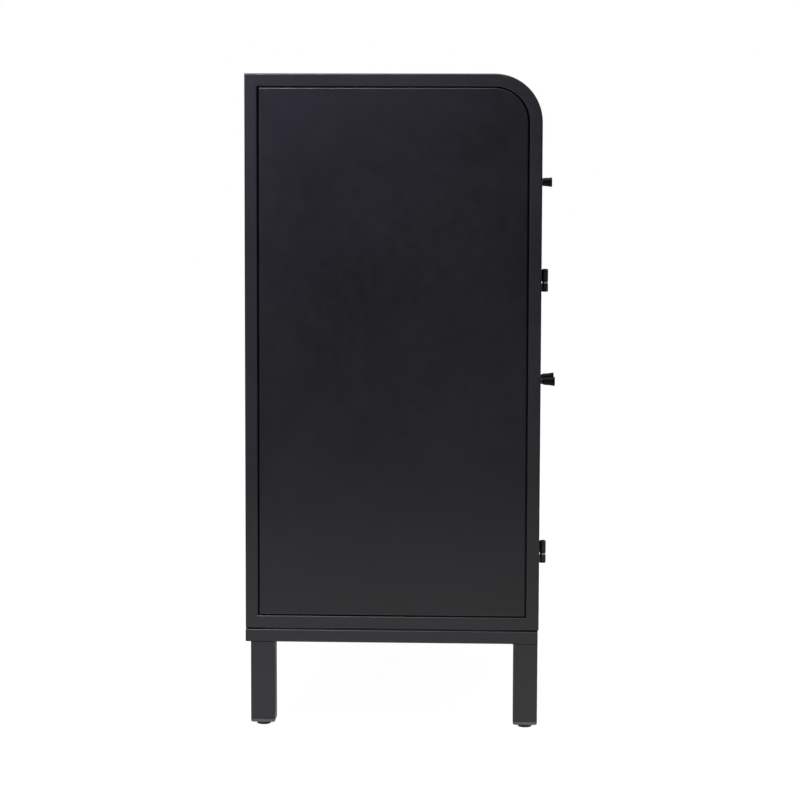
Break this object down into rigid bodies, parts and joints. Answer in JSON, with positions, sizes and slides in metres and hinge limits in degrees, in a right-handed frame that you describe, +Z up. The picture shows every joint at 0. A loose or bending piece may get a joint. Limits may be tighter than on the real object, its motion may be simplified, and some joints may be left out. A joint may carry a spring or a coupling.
{
  "type": "two-door cabinet with drawers",
  "caption": "Free-standing black steel cabinet on legs, with a bent-tube side frame, side-by-side drawers over a pair of hinged doors, and an adjustable shelf.",
  "frame": {"origin": "on the floor, under the middle of the whole outline, knobs included", "axes": "+X across the width towards the right-hand side seen from the front, -Y towards the front (doors and drawers), +Z up"},
  "size_m": [0.813, 0.4884, 1.016],
  "materials": {
    "black_frame": "satin powder coat with a fine texture, on tube",
    "black_sheet": "satin powder coat, smoother, on folded sheet",
    "knob_black": "satin black turned metal",
    "bright_steel": "turned, plain",
    "zinc_steel": "zinc plated",
    "grey_plastic": "moulded nylon, dark grey",
    "black_plastic": "moulded nylon"
  },
  "bodies": {
    "carcass": {"left_bent_rail": "black_frame", "right_bent_rail": "black_frame", "left_rear_post": "black_frame", "right_rear_post": "black_frame", "side_bottom_rails": "black_frame", "rear_rails": "black_frame", "front_rails": "black_frame", "drawer_divider": "black_frame", "drawer_partition": "black_sheet", "left_side_panel": "black_sheet", "right_side_panel": "black_sheet", "top_panel": "black_frame", "back_panel": "black_sheet", "floor_panel": "black_sheet", "mid_deck": "black_sheet", "top_brace": "black_sheet", "panel_ledges": "black_frame", "panel_screws": "zinc_steel", "shelf": "black_sheet", "shelf_standards": "zinc_steel", "shelf_pins": "bright_steel", "drawer_outer_runners": "zinc_steel", "base_side_rails": "black_frame", "base_cross_rails": "black_frame", "leg_front_left": "black_frame", "leg_front_right": "black_frame", "leg_rear_left": "black_frame", "leg_rear_right": "black_frame", "leg_end_caps": "grey_plastic", "levelling_feet": "black_plastic", "base_fixings": "zinc_steel", "fixed_hinge_knuckles": "black_frame", "hinge_pins": "bright_steel", "hinge_washers": "zinc_steel", "door_catches": "black_plastic"},
    "left_door": {"left_door_skin": "black_sheet", "left_door_liner": "black_sheet", "left_door_knuckles": "black_frame", "left_door_strike": "zinc_steel", "left_door_knob": "knob_black", "left_door_knob_spacer": "black_frame", "left_door_knob_screw": "zinc_steel"},
    "right_door": {"right_door_skin": "black_sheet", "right_door_liner": "black_sheet", "right_door_knuckles": "black_frame", "right_door_strike": "zinc_steel", "right_door_knob": "knob_black", "right_door_knob_spacer": "black_frame", "right_door_knob_screw": "zinc_steel"},
    "left_drawer": {"left_drawer_front": "black_sheet", "left_drawer_tray": "black_sheet", "left_drawer_slides": "zinc_steel", "left_drawer_knob": "knob_black", "left_drawer_knob_screw": "zinc_steel"},
    "right_drawer": {"right_drawer_front": "black_sheet", "right_drawer_tray": "black_sheet", "right_drawer_slides": "zinc_steel", "right_drawer_knob": "knob_black", "right_drawer_knob_screw": "zinc_steel"}
  },
  "joints": [
    {"name": "left_door_hinge", "type": "hinge", "parent": "carcass", "child": "left_door", "pos_m": [-0.3855, -0.21915, 0.7], "axis": [0, 0, -1], "range_deg": [0, 170]},
    {"name": "right_door_hinge", "type": "hinge", "parent": "carcass", "child": "right_door", "pos_m": [0.3855, -0.21915, 0.7], "axis": [0, 0, 1], "range_deg": [0, 170]},
    {"name": "left_drawer_slide", "type": "slide", "parent": "carcass", "child": "left_drawer", "axis": [0, -1, 0], "range_m": [0, 0.3]},
    {"name": "right_drawer_slide", "type": "slide", "parent": "carcass", "child": "right_drawer", "axis": [0, -1, 0], "range_m": [0, 0.3]}
  ]
}
